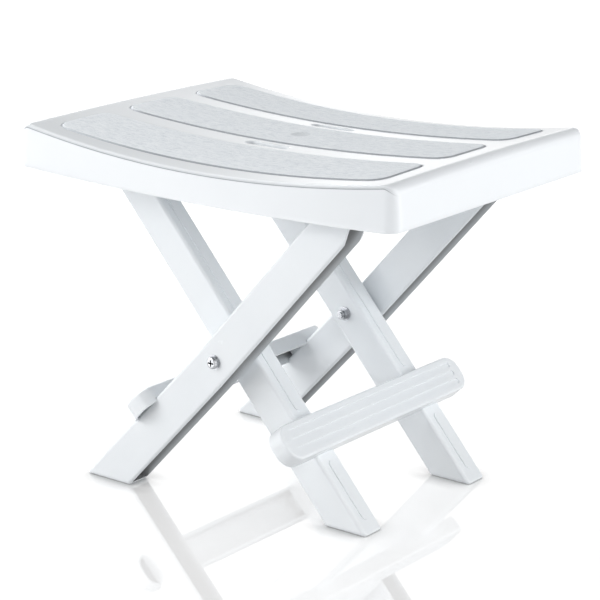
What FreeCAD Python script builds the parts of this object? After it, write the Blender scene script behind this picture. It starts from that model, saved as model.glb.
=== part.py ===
import FreeCAD, Part
import math
import os
import re
import Sketcher

# Folding stool: a moulded seat on two crossed pairs of channel legs. X runs along the seat, Y across it and Z up.
# The floor is z = 0 and the crossing bolts lie on x = 0.

os.makedirs("parts", exist_ok=True)
doc = FreeCAD.newDocument("folding_stool")
V = FreeCAD.Vector

SIZES = [
    # seat
    ("seat_length", 450.0),
    ("seat_width", 320.0),
    ("seat_height", 359.0),
    ("end_crown", 1.0),
    ("saddle_sag", 19.5),
    ("mid_crown", 7.5),
    ("skirt_depth", 45.0),
    ("rim_sag", 5.5),
    ("skirt_draft", 3.4),
    ("corner_round", 12.0),
    ("top_edge_round", 3.0),
    ("seat_wall", 3.2),
    ("panel_length", 388.0),
    ("panel_round", 16.0),
    ("panel_raise", 1.2),
    ("middle_panel_width", 75.6),
    ("side_panel_width", 72.6),
    ("strip_width", 26.6),
    ("slot_length", 50.0),
    ("slot_width", 10.0),
    ("disc_round", 10.0),
    ("disc_depth", 1.0),
    ("rib_height", 8.0),
    ("rib_thick", 2.2),
    ("rib_spread", 34.0),
    ("rib_step", 55.0),
    # legs
    ("pivot_height", 150.0),
    ("outer_angle", 48.1),
    ("inner_angle", 49.0),
    ("leg_inset", 27.0),
    ("leg_thick", 28.0),
    ("leg_gap", 4.0),
    ("leg_up", 19.3),
    ("outer_low", 20.7),
    ("outer_foot_low", 16.2),
    ("taper_at", 12.0),
    ("outer_flare", 2.1),
    ("inner_low", 17.2),
    ("leg_wall", 2.4),
    ("web_wall", 3.2),
    ("sole_wall", 3.5),
    ("foot_round", 4.0),
    ("toe_round", 1.8),
    ("web_round", 3.4),
    ("swell_width", 8.6),
    ("swell_raise", 0.9),
    ("swell_gap", 9.0),
    ("swell_end", 16.0),
    ("nose_round", 12.5),
    ("nose_taper", 22.0),
    ("nose_core", 14.5),
    ("boss_round", 9.5),
    # seat hinge and catch
    ("hinge_drop", 43.0),
    ("pin_dia", 7.0),
    ("pin_head_dia", 12.0),
    ("pin_head_thick", 2.4),
    ("pin_clear", 0.08),
    ("ear_clear", 0.4),
    ("ear_outer_thick", 3.2),
    ("ear_inner_thick", 4.0),
    ("ear_round", 11.0),
    ("ear_flare", 5.0),
    ("catch_clear", 0.4),
    ("catch_lip", 4.5),
    ("catch_run", 15.0),
    ("catch_inset", 2.0),
    # foot bars
    ("bar_at", 106.4),
    ("bar_overhang", 12.0),
    ("bar_width", 38.0),
    ("bar_back", 15.5),
    ("bar_face", 32.5),
    ("bar_round", 15.6),
    ("bar_wall", 2.6),
    ("bar_draft", 1.5),
    ("bar_edge_round", 2.2),
    ("flute_count", 3.0),
    ("flute_width", 5.6),
    ("flute_pitch", 9.4),
    ("flute_depth", 0.9),
    ("flute_inset", 13.0),
    ("notch_clear", 0.2),
    ("post_length", 22.0),
    ("post_width", 20.0),
    # crossing bolts
    ("bolt_dia", 6.0),
    ("bolt_clear", 0.08),
    ("bolt_stick", 2.0),
    ("head_dia", 12.4),
    ("head_height", 4.2),
    ("head_dome", 2.8),
    ("recess_length", 6.4),
    ("recess_width", 1.5),
    ("recess_depth", 2.0),
    ("washer_dia", 14.2),
    ("washer_thick", 1.2),
    ("washer_clear", 0.15),
    ("nut_flats", 10.0),
    ("nut_height", 4.6),
    ("collar_dia", 8.8),
    ("collar_height", 1.8),
    ("spacer_dia", 18.0),
]

sheet = doc.addObject("Spreadsheet::Sheet", "Sizes")
for row, (alias, number) in enumerate(SIZES, 1):
    sheet.set("A%d" % row, alias)
    sheet.set("B%d" % row, "%g" % number)
    sheet.setAlias("B%d" % row, alias)
doc.recompute()

# places that follow from the sizes: the rim and the hinge hang from the seat's height, the legs stand in from its sides,
# the outer legs' noses lie as far from the crossing as the hinge does, and the bars reach past the outer legs
PLACES = {
    "rim_height": "(seat_height - skirt_depth)",
    "hinge_height": "(seat_height - hinge_drop)",
    "outer_plane": "(seat_width / 2 - leg_inset)",
    "nose_at": "((seat_height - hinge_drop - pivot_height) / sin(inner_angle))",
    "bar_length": "(seat_width - 2 * leg_inset + 2 * bar_overhang)",
}


def link(expression):
    """The expression with each place written out and each alias written as a cell of the sheet."""
    for place_name, formula in PLACES.items():
        expression = re.sub(r"\b%s\b" % place_name, formula, expression)
    return re.sub(r"\b([a-z]+(?:_[a-z]+)+)\b", r"Sizes.\1", expression)


probe = doc.addObject("App::FeaturePython", "Probe")


def size(expression):
    """The value of an expression over the sheet."""
    value = probe.evalExpression(link(expression))
    return float(getattr(value, "Value", value))


def bind(obj, prop, expression):
    """Binds a property to an expression over the sheet."""
    obj.setExpression(prop, link(expression))


def new_body(name):
    """An empty body with the given label."""
    body = doc.addObject("PartDesign::Body", name)
    body.Label = name
    return body


def plane(body, role):
    """One of the body's own origin planes."""
    return [f for f in body.Origin.OriginFeatures if f.Role == role][0]


def sketch_on(body, name, role, offset="0"):
    """An empty sketch on an origin plane, moved along the plane's normal by the offset."""
    sk = body.newObject("Sketcher::SketchObject", name)
    sk.AttachmentSupport = [(plane(body, role), "")]
    sk.MapMode = "FlatFace"
    if offset != "0":
        bind(sk, "AttachmentOffset.Base.z", offset)
    return sk


def pin_point(sk, geo, pos, ex, ey):
    """Fixes a point of the sketch at the two expressions."""
    for axis, kind, expression in ((-2, "DistanceX", ex), (-1, "DistanceY", ey)):
        if expression == "0":
            sk.addConstraint(Sketcher.Constraint("PointOnObject", geo, pos, axis))
        else:
            n = sk.addConstraint(Sketcher.Constraint(kind, -1, 1, geo, pos, size(expression)))
            sk.setExpression("Constraints[%d]" % n, link(expression))


def arc_between(a, b, radius, turn):
    """A minor arc from a to b that turns left (turn 1) or right (turn -1)."""
    chord = b.sub(a)
    half = chord.Length / 2
    rise = math.sqrt(max(radius * radius - half * half, 0.0))
    left = V(-chord.y, chord.x, 0).normalize()
    centre = a.add(b).multiply(0.5).add(left.multiply(turn * rise))
    first, last = (a, b) if turn > 0 else (b, a)
    start = math.atan2(first.y - centre.y, first.x - centre.x)
    end = math.atan2(last.y - centre.y, last.x - centre.x)
    if end < start:
        end += 2 * math.pi
    return Part.ArcOfCircle(Part.Circle(centre, V(0, 0, 1), radius), start, end)


def outline(sk, corners):
    """A closed wire. A corner is (x, y), or (x, y, radius, turn) where an arc leads to the next corner."""
    points = [V(size(c[0]), size(c[1]), 0) for c in corners]
    count = len(corners)
    ends = []
    for i, corner in enumerate(corners):
        a = points[i]
        b = points[(i + 1) % count]
        if len(corner) == 2:
            ends.append((sk.addGeometry(Part.LineSegment(a, b), False), 1, 2))
        else:
            turn = corner[3]
            geo = sk.addGeometry(arc_between(a, b, size(corner[2]), turn), False)
            ends.append((geo, 1, 2) if turn > 0 else (geo, 2, 1))
    for i, (geo, first, last) in enumerate(ends):
        follower = ends[(i + 1) % count]
        sk.addConstraint(Sketcher.Constraint("Coincident", geo, last, follower[0], follower[1]))
    for i, corner in enumerate(corners):
        geo, first, last = ends[i]
        pin_point(sk, geo, first, corner[0], corner[1])
        if len(corner) == 4:
            n = sk.addConstraint(Sketcher.Constraint("Radius", geo, size(corner[2])))
            sk.setExpression("Constraints[%d]" % n, link(corner[2]))


def disc(sk, ex, ey, radius):
    """A circle with its centre and radius at the expressions."""
    geo = sk.addGeometry(Part.Circle(V(size(ex), size(ey), 0), V(0, 0, 1), size(radius)), False)
    pin_point(sk, geo, 3, ex, ey)
    n = sk.addConstraint(Sketcher.Constraint("Radius", geo, size(radius)))
    sk.setExpression("Constraints[%d]" % n, link(radius))


def shift(base, delta):
    """The sum of two expressions."""
    if base == "0":
        return "(%s)" % delta
    return "(%s) + (%s)" % (base, delta)


def rounded(sk, half_x, half_y, radius, cx="0", cy="0"):
    """A rounded rectangle about (cx, cy)."""
    in_x = "(%s) - (%s)" % (half_x, radius)
    in_y = "(%s) - (%s)" % (half_y, radius)
    less_x = "-(%s)" % half_x
    less_y = "-(%s)" % half_y
    less_in_x = "-(%s)" % in_x
    less_in_y = "-(%s)" % in_y
    outline(sk, [
        (shift(cx, in_x), shift(cy, less_y), radius, 1),
        (shift(cx, half_x), shift(cy, less_in_y)),
        (shift(cx, half_x), shift(cy, in_y), radius, 1),
        (shift(cx, in_x), shift(cy, half_y)),
        (shift(cx, less_in_x), shift(cy, half_y), radius, 1),
        (shift(cx, less_x), shift(cy, in_y)),
        (shift(cx, less_x), shift(cy, less_in_y), radius, 1),
        (shift(cx, less_in_x), shift(cy, less_y)),
    ])


def slot_shape(sk, x_from, x_to, half, cy="0"):
    """A slot with round ends along the sketch's X."""
    low = shift(cy, "-(%s)" % half)
    high = shift(cy, half)
    outline(sk, [
        ("(%s) + (%s)" % (x_from, half), low),
        ("(%s) - (%s)" % (x_to, half), low, half, 1),
        (x_to, cy, half, 1),
        ("(%s) - (%s)" % (x_to, half), high),
        ("(%s) + (%s)" % (x_from, half), high, half, 1),
        (x_from, cy, half, 1),
    ])


def block(sk, x_from, x_to, y_from, y_to):
    """A plain rectangle between the expressions."""
    outline(sk, [(x_from, y_from), (x_to, y_from), (x_to, y_to), (x_from, y_to)])


def grow(body, kind, sk, name, length, both=False, back=False, taper=None):
    """A Pad or Pocket of the sketch."""
    doc.recompute()
    feature = body.newObject("PartDesign::" + kind, name)
    feature.Profile = sk
    bind(feature, "Length", length)
    if both:
        feature.SideType = "Symmetric"
    feature.Reversed = back
    if taper:
        bind(feature, "TaperAngle", taper)
    sk.Visibility = False
    doc.recompute()
    return feature


def pad(body, sk, name, length, **more):
    """Adds the sketch's prism."""
    return grow(body, "Pad", sk, name, length, **more)


def pocket(body, sk, name, length, **more):
    """Takes the sketch's prism away, and stops if nothing went."""
    before = body.Shape.Volume
    feature = grow(body, "Pocket", sk, name, length, **more)
    if body.Shape.Volume > before - 1e-3:
        raise RuntimeError("%s cut nothing" % name)
    return feature


def round_edges(body, name, radius, keep):
    """A fillet on the edges of the body's tip that the test keeps."""
    tip = body.Tip
    names = ["Edge%d" % (i + 1) for i, e in enumerate(tip.Shape.Edges) if keep(e)]
    if not names:
        raise RuntimeError("%s found no edge" % name)
    feature = body.newObject("PartDesign::Fillet", name)
    feature.Base = (tip, names)
    bind(feature, "Radius", radius)
    doc.recompute()
    return feature


def saddle(body, name, lift, keep_below=True):
    """Cuts the body along the seat's saddle surface, moved up by lift: three sections across the seat, lofted."""
    half = "seat_width / 2"
    away = "seat_height + 12" if keep_below else "rim_height - rim_sag - 40"
    sections = []
    for tag, x, edge, crown in (
        ("left", "-seat_length / 2", "seat_height - end_crown + (%s)" % lift, "end_crown"),
        ("middle", "0", "seat_height - end_crown - saddle_sag + (%s)" % lift, "mid_crown"),
        ("right", "seat_length / 2", "seat_height - end_crown + (%s)" % lift, "end_crown"),
    ):
        sk = sketch_on(body, "%s_%s" % (name, tag), "YZ_Plane", x)
        bow = "((%s)^2 + %s^2) / (2 * %s)" % (half, crown, crown)
        outline(sk, [("-" + half, edge, bow, -1), (half, edge), (half, away), ("-" + half, away)])
        sk.Visibility = False
        sections.append(sk)
    doc.recompute()
    before = body.Shape.Volume
    loft = body.newObject("PartDesign::SubtractiveLoft", name)
    loft.Profile = sections[0]
    loft.Sections = sections[1:]
    loft.Ruled = False
    doc.recompute()
    if body.Shape.Volume > before - 1e-3:
        raise RuntimeError("%s cut nothing" % name)
    return loft


# places that several pieces share

HINGE_X = "-(hinge_height - pivot_height) / tan(inner_angle)"
HINGE_RUN = "(hinge_height - pivot_height) / sin(inner_angle)"
NOSE_X = "nose_at * cos(outer_angle)"
NOSE_Z = "pivot_height + nose_at * sin(outer_angle)"
INNER_PLANE = "outer_plane - leg_thick - leg_gap"
OUTER_MID = "outer_plane - leg_thick / 2"
INNER_MID = "outer_plane - leg_gap - 1.5 * leg_thick"
RIM_LOW = "rim_height - rim_sag"
EAR_OUT = "outer_plane - leg_thick - leg_gap + ear_clear + ear_outer_thick"
EAR_IN = "outer_plane - 2 * leg_thick - leg_gap - ear_clear - ear_inner_thick"

parts = []


def place(obj, x, y, z, axis=None, angle=None):
    """Places a piece, with its angle bound where it has one."""
    if axis is not None:
        obj.Placement = FreeCAD.Placement(V(0, 0, 0), FreeCAD.Rotation(axis, size(angle)))
        bind(obj, "Placement.Rotation.Angle", angle)
    for prop, expression in (("x", x), ("y", y), ("z", z)):
        if expression != "0":
            bind(obj, "Placement.Base." + prop, expression)


# seat

def seat_block(name, inset, lift, floor):
    """The drafted block of the seat, with its sides moved in by inset and its top on the saddle moved by lift."""
    body = new_body(name)
    sk = sketch_on(body, name + "_plan", "XY_Plane", floor)
    rounded(sk, "seat_length / 2 - (%s)" % inset, "seat_width / 2 - (%s)" % inset, "corner_round - (%s)" % inset)
    pad(body, sk, name + "_pad", "seat_height + 4 - (%s)" % floor, taper="-skirt_draft")
    saddle(body, name + "_top", lift)
    return body


def saddle_edge(e):
    """True for an edge of the block's saddle face: it lies high and does not run down the skirt."""
    box = e.BoundBox
    low = size("seat_height - end_crown - saddle_sag") - 1.5
    return box.ZMin > low


outer = seat_block("seat_outer", "0", "0", RIM_LOW + " - 1")
round_edges(outer, "seat_outer_round", "top_edge_round", saddle_edge)
sk = sketch_on(outer, "rim_curve", "XZ_Plane")
rim_bow = "((seat_length / 2)^2 + rim_sag^2) / (2 * rim_sag)"
outline(sk, [
    ("-seat_length / 2", "rim_height", rim_bow, 1),
    ("seat_length / 2", "rim_height"),
    ("seat_length / 2", RIM_LOW + " - 20"),
    ("-seat_length / 2", RIM_LOW + " - 20"),
])
pocket(outer, sk, "rim_cut", "seat_width + 20", both=True)

core = seat_block("seat_core", "seat_wall", "-seat_wall", RIM_LOW + " - 1")

panels = new_body("seat_panels")
sk = sketch_on(panels, "panel_plan", "XY_Plane", RIM_LOW)
side_mid = "middle_panel_width / 2 + strip_width + side_panel_width / 2"
rounded(sk, "panel_length / 2", "middle_panel_width / 2", "panel_round")
rounded(sk, "panel_length / 2", "side_panel_width / 2", "panel_round", "0", side_mid)
rounded(sk, "panel_length / 2", "side_panel_width / 2", "panel_round", "0", "-(%s)" % side_mid)
pad(panels, sk, "panel_pad", "seat_height + 4 - (%s)" % RIM_LOW)
saddle(panels, "panel_top", "panel_raise")

drains = new_body("seat_drains")
sk = sketch_on(drains, "drain_plan", "XY_Plane", RIM_LOW)
drain_y = "middle_panel_width / 2 + strip_width / 2"
slot_shape(sk, "-slot_length / 2", "slot_length / 2", "slot_width / 2", drain_y)
slot_shape(sk, "-slot_length / 2", "slot_length / 2", "slot_width / 2", "-(%s)" % drain_y)
pad(drains, sk, "drain_pad", "seat_height + 4 - (%s)" % RIM_LOW)
disc_floor = "seat_height - end_crown - saddle_sag + mid_crown + panel_raise - disc_depth"
sk = sketch_on(drains, "disc_plan", "XY_Plane", disc_floor)
disc(sk, "0", "0", "disc_round")
pad(drains, sk, "disc_pad", "10")

ribs = new_body("seat_ribs")
sk = sketch_on(ribs, "long_rib_plan", "XY_Plane", RIM_LOW)
rib_x = "seat_length / 2 - seat_wall - 1.5"
for middle in ("0", "rib_spread", "-rib_spread"):
    block(sk, "-(%s)" % rib_x, rib_x, shift(middle, "-rib_thick / 2"), shift(middle, "rib_thick / 2"))
pad(ribs, sk, "long_rib_pad", "seat_height - (%s)" % RIM_LOW)
sk = sketch_on(ribs, "cross_rib_plan", "XY_Plane", RIM_LOW)
rib_y = "seat_width / 2 - seat_wall - 1.5"
for step in ("-3", "-2", "-1", "1", "2", "3"):
    middle = step + " * rib_step"
    block(sk, shift(middle, "-rib_thick / 2"), shift(middle, "rib_thick / 2"), "-(%s)" % rib_y, rib_y)
pad(ribs, sk, "cross_rib_pad", "seat_height - (%s)" % RIM_LOW)
saddle(ribs, "rib_top", "-seat_wall / 2")
saddle(ribs, "rib_bottom", "-seat_wall - rib_height", keep_below=False)

ears = new_body("seat_ears")
top_z = "seat_height + 2"
originals = []
for tag, face, thick in (("outer", EAR_OUT, "ear_outer_thick"), ("inner", EAR_IN + " + ear_inner_thick", "ear_inner_thick")):
    sk = sketch_on(ears, "ear_%s" % tag, "XZ_Plane", "%s - %s" % (face, thick))
    outline(sk, [
        (shift(HINGE_X, "-ear_round"), "hinge_height", "ear_round", 1),
        (HINGE_X, "hinge_height - ear_round", "ear_round", 1),
        (shift(HINGE_X, "ear_round"), "hinge_height"),
        (shift(HINGE_X, "ear_round + ear_flare"), top_z),
        (shift(HINGE_X, "-ear_round - ear_flare"), top_z),
    ])
    disc(sk, HINGE_X, "hinge_height", "pin_dia / 2")
    originals.append(pad(ears, sk, "ear_%s_pad" % tag, thick))
catch_rad = "nose_round + catch_clear"
sk = sketch_on(ears, "catch", "XZ_Plane", "outer_plane - leg_thick + catch_inset")
outline(sk, [
    ("(%s) - catch_run" % NOSE_X, "(%s) + %s" % (NOSE_Z, catch_rad)),
    (NOSE_X, "(%s) + %s" % (NOSE_Z, catch_rad), catch_rad, -1),
    ("(%s) + %s" % (NOSE_X, catch_rad), NOSE_Z),
    ("(%s) + %s + catch_lip" % (NOSE_X, catch_rad), NOSE_Z),
    ("(%s) + %s + catch_lip" % (NOSE_X, catch_rad), top_z),
    ("(%s) - catch_run" % NOSE_X, top_z),
])
originals.append(pad(ears, sk, "catch_pad", "leg_thick - 2 * catch_inset"))
mirrored = ears.newObject("PartDesign::Mirrored", "ears_mirrored")
mirrored.Originals = originals
mirrored.MirrorPlane = (plane(ears, "XZ_Plane"), [""])
ears.Tip = mirrored
doc.recompute()
saddle(ears, "ear_top", "-seat_wall / 2")

with_panels = doc.addObject("Part::Fuse", "seat_with_panels")
with_panels.Base = outer
with_panels.Tool = panels
hollow = doc.addObject("Part::Cut", "seat_hollow")
hollow.Base = with_panels
hollow.Tool = core
drained = doc.addObject("Part::Cut", "seat_drained")
drained.Base = hollow
drained.Tool = drains
open_ribs = doc.addObject("Part::Cut", "seat_open_ribs")
open_ribs.Base = ribs
open_ribs.Tool = drains
seat = doc.addObject("Part::MultiFuse", "seat_top")
seat.Shapes = [drained, open_ribs, ears]
seat.Refine = False
seat.Label = "seat_top"
doc.recompute()
parts.append(seat)


# legs

def leg_common(body, mid, low):
    """The channel's pivot boss and bolt hole."""
    sk = sketch_on(body, body.Label + "_boss", "XZ_Plane")
    disc(sk, "0", "0", "boss_round")
    pad(body, sk, body.Label + "_boss_pad", "leg_thick", both=True)


def drill(body, name, x, radius):
    """A hole right through the leg at a place on its axis."""
    sk = sketch_on(body, name, "XZ_Plane")
    disc(sk, x, "0", radius)
    pocket(body, sk, name + "_cut", "leg_thick + 10", both=True)


def web_swell(body, name, x_from, x_to, tilt=None):
    """A low round-ended swell along the web, or along the part of it that is tilted about the taper's start."""
    sk = sketch_on(body, name, "XY_Plane", "leg_up")
    if tilt:
        sk.AttachmentOffset = FreeCAD.Placement(V(0, 0, 0), FreeCAD.Rotation(V(0, 1, 0), size(tilt)))
        bind(sk, "AttachmentOffset.Rotation.Angle", tilt)
        bind(sk, "AttachmentOffset.Base.x", "-taper_at * (1 - cos(%s))" % tilt)
        bind(sk, "AttachmentOffset.Base.z", "leg_up - taper_at * sin(%s)" % tilt)
    slot_shape(sk, x_from, x_to, "swell_width / 2")
    pad(body, sk, name + "_pad", "swell_raise")


def soften(body, toe_x, heel_x):
    """Rounds the sole's sharp toe edge and its blunt heel edge, and the web's long edges."""
    half = size("leg_thick / 2")
    up = size("leg_up")
    name = body.Label

    def across(e, x):
        box = e.BoundBox
        return box.YLength > 1.9 * half and box.XLength < 0.01 and box.ZLength < 0.01 and abs(box.XMin - x) < 0.05

    def long_edge(e):
        box = e.BoundBox
        return box.XLength > 120 and box.ZMin > up - 0.01 and box.YLength < 0.01 and abs(abs(box.YMin) - half) < 0.01

    round_edges(body, name + "_toe_round", "toe_round", lambda e: across(e, toe_x))
    round_edges(body, name + "_heel_round", "foot_round", lambda e: across(e, heel_x))
    round_edges(body, name + "_web_round", "web_round", long_edge)


def outer_leg(name, side):
    """A leg of the outer pair, built along its own axis: the nose at +X, the foot at -X and the web at +Z."""
    body = new_body(name)
    sk = sketch_on(body, name + "_side", "XZ_Plane")
    turned = "(sin(outer_angle) - cos(outer_angle) * tan(outer_flare))"
    web_x = "-(pivot_height - (%s) + (leg_up - (%s) - taper_at * tan(outer_flare)) * cos(outer_angle)) / " + turned
    web_z = "leg_up - (%s) - (taper_at + (%s)) * tan(outer_flare)"
    foot_up = web_x % ("0", "0")
    foot_low = "-(pivot_height - outer_foot_low * cos(outer_angle)) / sin(outer_angle)"
    tip_x = "nose_at + nose_round * sin(nose_taper)"
    tip_z = "nose_round * cos(nose_taper)"
    outline(sk, [
        (foot_low, "-outer_foot_low"),
        ("-taper_at", "-outer_low"),
        ("%s - (outer_low - %s) / tan(nose_taper)" % (tip_x, tip_z), "-outer_low"),
        (tip_x, "-" + tip_z, "nose_round", 1),
        ("nose_at + nose_round", "0", "nose_round", 1),
        (tip_x, tip_z),
        ("%s - (leg_up - %s) / tan(nose_taper)" % (tip_x, tip_z), "leg_up"),
        ("-taper_at", "leg_up"),
        (foot_up, web_z % ("0", foot_up)),
    ])
    pad(body, sk, name + "_pad", "leg_thick", both=True)
    soften(body, size(foot_up), size(foot_low))
    sk = sketch_on(body, name + "_channel", "XZ_Plane")
    roof = "leg_up - web_wall"
    reach = "outer_low + 6"
    stop = "(nose_at + nose_round - nose_core)"
    bend = "(%s - (leg_up - %s) / tan(nose_taper) - web_wall * tan(nose_taper / 2))" % (tip_x, tip_z)
    outline(sk, [
        ("-(pivot_height - (%s) * cos(outer_angle) - sole_wall) / sin(outer_angle)" % reach, "-(%s)" % reach),
        (stop, "-(%s)" % reach),
        (stop, "%s - (%s - %s) * tan(nose_taper)" % (roof, stop, bend)),
        (bend, roof),
        ("-taper_at", roof),
        (web_x % ("sole_wall", "web_wall"), web_z % ("web_wall", web_x % ("sole_wall", "web_wall"))),
    ])
    pocket(body, sk, name + "_channel_cut", "leg_thick - 2 * leg_wall", both=True)
    leg_common(body, OUTER_MID, "outer_low")
    drill(body, name + "_bolt_hole", "0", "bolt_dia / 2 + bolt_clear")
    web_swell(body, name + "_swell_low", "%s + swell_end" % foot_up, "-(bar_at + bar_width / 2 + swell_gap)", "outer_flare")
    web_swell(body, name + "_swell_high", "swell_gap - taper_at", "nose_at - nose_round - swell_end")
    y_mid = "-(%s)" % OUTER_MID if side < 0 else OUTER_MID
    place(body, "0", y_mid, "pivot_height", V(0, -1, 0), "outer_angle")
    parts.append(body)


def inner_leg(name, side):
    """A leg of the inner pair, built along its own axis: the foot at +X, the hinge end at -X and the web at +Z."""
    body = new_body(name)
    sk = sketch_on(body, name + "_side", "XZ_Plane")
    foot_up = "(pivot_height + leg_up * cos(inner_angle)) / sin(inner_angle)"
    foot_low = "(pivot_height - inner_low * cos(inner_angle)) / sin(inner_angle)"
    end_round = "(leg_up + inner_low) / 2"
    less_run = "-" + HINGE_RUN
    outline(sk, [
        (less_run, "-inner_low"),
        (foot_low, "-inner_low"),
        (foot_up, "leg_up"),
        (less_run, "leg_up", end_round, 1),
        ("%s - %s" % (less_run, end_round), "(leg_up - inner_low) / 2", end_round, 1),
    ])
    pad(body, sk, name + "_pad", "leg_thick", both=True)
    soften(body, size(foot_up), size(foot_low))
    sk = sketch_on(body, name + "_channel", "XZ_Plane")
    roof = "leg_up - web_wall"
    reach = "inner_low + 6"
    outline(sk, [
        ("%s + ear_round" % less_run, "-(%s)" % reach),
        ("(pivot_height - (%s) * cos(inner_angle) - sole_wall) / sin(inner_angle)" % reach, "-(%s)" % reach),
        ("(pivot_height + (%s) * cos(inner_angle) - sole_wall) / sin(inner_angle)" % roof, roof),
        ("%s + ear_round" % less_run, roof),
    ])
    pocket(body, sk, name + "_channel_cut", "leg_thick - 2 * leg_wall", both=True)
    leg_common(body, INNER_MID, "inner_low")
    drill(body, name + "_bolt_hole", "0", "bolt_dia / 2 + bolt_clear")
    drill(body, name + "_pin_hole", less_run, "pin_dia / 2 + pin_clear")
    web_swell(body, name + "_swell_high", "%s + swell_end" % less_run, "bar_at - bar_width / 2 - swell_gap")
    web_swell(body, name + "_swell_low", "bar_at + bar_width / 2 + swell_gap", "%s - swell_end" % foot_up)
    y_mid = "-(%s)" % INNER_MID if side < 0 else INNER_MID
    place(body, "0", y_mid, "pivot_height", V(0, 1, 0), "inner_angle")
    parts.append(body)


outer_leg("outer_leg_front", -1)
outer_leg("outer_leg_rear", 1)
inner_leg("inner_leg_front", -1)
inner_leg("inner_leg_rear", 1)


# foot bars

def foot_bar(name, at, leg_mid, axis, angle, move_x="0", move_z="pivot_height"):
    """A hollow bar with round ends, fluted on its face, notched over its two legs and seated on their webs."""
    body = new_body(name)
    sk = sketch_on(body, name + "_plan", "XY_Plane", "bar_back")
    rounded(sk, "bar_width / 2", "bar_length / 2", "bar_round", at)
    pad(body, sk, name + "_pad", "bar_face - bar_back", taper="-bar_draft")
    face = size("bar_face")
    round_edges(body, name + "_face_round", "bar_edge_round",
                lambda e: abs(e.BoundBox.ZMin - face) < 0.01 and abs(e.BoundBox.ZMax - face) < 0.01)
    sk = sketch_on(body, name + "_inside", "XY_Plane", "bar_back")
    rounded(sk, "bar_width / 2 - bar_wall", "bar_length / 2 - bar_wall", "bar_round - bar_wall", at)
    pocket(body, sk, name + "_inside_cut", "bar_face - bar_back - bar_wall", back=True, taper="-bar_draft")
    sk = sketch_on(body, name + "_posts", "XY_Plane", "leg_up")
    for sign in ("-", ""):
        mid = "%s(%s)" % (sign, leg_mid)
        block(sk, shift(at, "-post_width / 2"), shift(at, "post_width / 2"),
              shift(mid, "-post_length / 2"), shift(mid, "post_length / 2"))
    pad(body, sk, name + "_post_pad", "bar_face - leg_up - bar_wall / 2")
    sk = sketch_on(body, name + "_notches", "XY_Plane", "bar_back - 1")
    for sign in ("-", ""):
        mid = "%s(%s)" % (sign, leg_mid)
        half = "leg_thick / 2 + notch_clear"
        block(sk, shift(at, "-bar_width"), shift(at, "bar_width"), shift(mid, "-(%s)" % half), shift(mid, half))
    pocket(body, sk, name + "_notch_cut", "leg_up - bar_back + 1", back=True)
    sk = sketch_on(body, name + "_flutes", "XY_Plane", "bar_face")
    count = int(round(size("flute_count")))
    run = "bar_length / 2 - flute_inset"
    half = "flute_width / 2"
    for i in range(count):
        mid = shift(at, "%g * flute_pitch" % (i - (count - 1) / 2.0))
        low = "(%s) - %s" % (mid, half)
        high = "(%s) + %s" % (mid, half)
        outline(sk, [
            (high, "-(%s - %s)" % (run, half)),
            (high, "%s - %s" % (run, half), half, 1),
            (mid, run, half, 1),
            (low, "%s - %s" % (run, half)),
            (low, "-(%s - %s)" % (run, half), half, 1),
            (mid, "-(%s)" % run, half, 1),
        ])
    pocket(body, sk, name + "_flute_cut", "flute_depth")
    place(body, move_x, "0", move_z, axis, angle)
    parts.append(body)


# the outer bar turns with the widened web, about the place where the widening starts
WEB_ANGLE = "(outer_angle - outer_flare)"
LESS_SIN = "(sin(outer_angle) - sin(%s))" % WEB_ANGLE
LESS_COS = "(cos(outer_angle) - cos(%s))" % WEB_ANGLE
foot_bar("outer_foot_bar", "-bar_at", OUTER_MID, V(0, -1, 0), WEB_ANGLE,
         "-taper_at * %s - leg_up * %s" % (LESS_COS, LESS_SIN),
         "pivot_height - taper_at * %s + leg_up * %s" % (LESS_SIN, LESS_COS))
foot_bar("inner_foot_bar", "bar_at", INNER_MID, V(0, 1, 0), "inner_angle")


# crossing bolts, built with the bolt's head towards +Z and the outer leg's outer face at z = 0

NUT_FACE = "-(2 * leg_thick + leg_gap + washer_clear + washer_thick)"


def stand(body, side, x, y, z):
    """Turns a piece so that its +Z points out of the stool's front or rear."""
    body.Placement = FreeCAD.Placement(V(0, 0, 0), FreeCAD.Rotation(V(1, 0, 0), 90 if side < 0 else -90))
    place(body, x, "-(%s)" % y if side < 0 else y, z)
    parts.append(body)


def ring(name, side, floor, thick, outer_rad, inner_rad):
    """A flat ring on the bolt's axis."""
    body = new_body(name)
    sk = sketch_on(body, name + "_plan", "XY_Plane", floor)
    disc(sk, "0", "0", outer_rad)
    disc(sk, "0", "0", inner_rad)
    pad(body, sk, name + "_pad", thick)
    stand(body, side, "0", "outer_plane", "pivot_height")


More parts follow.
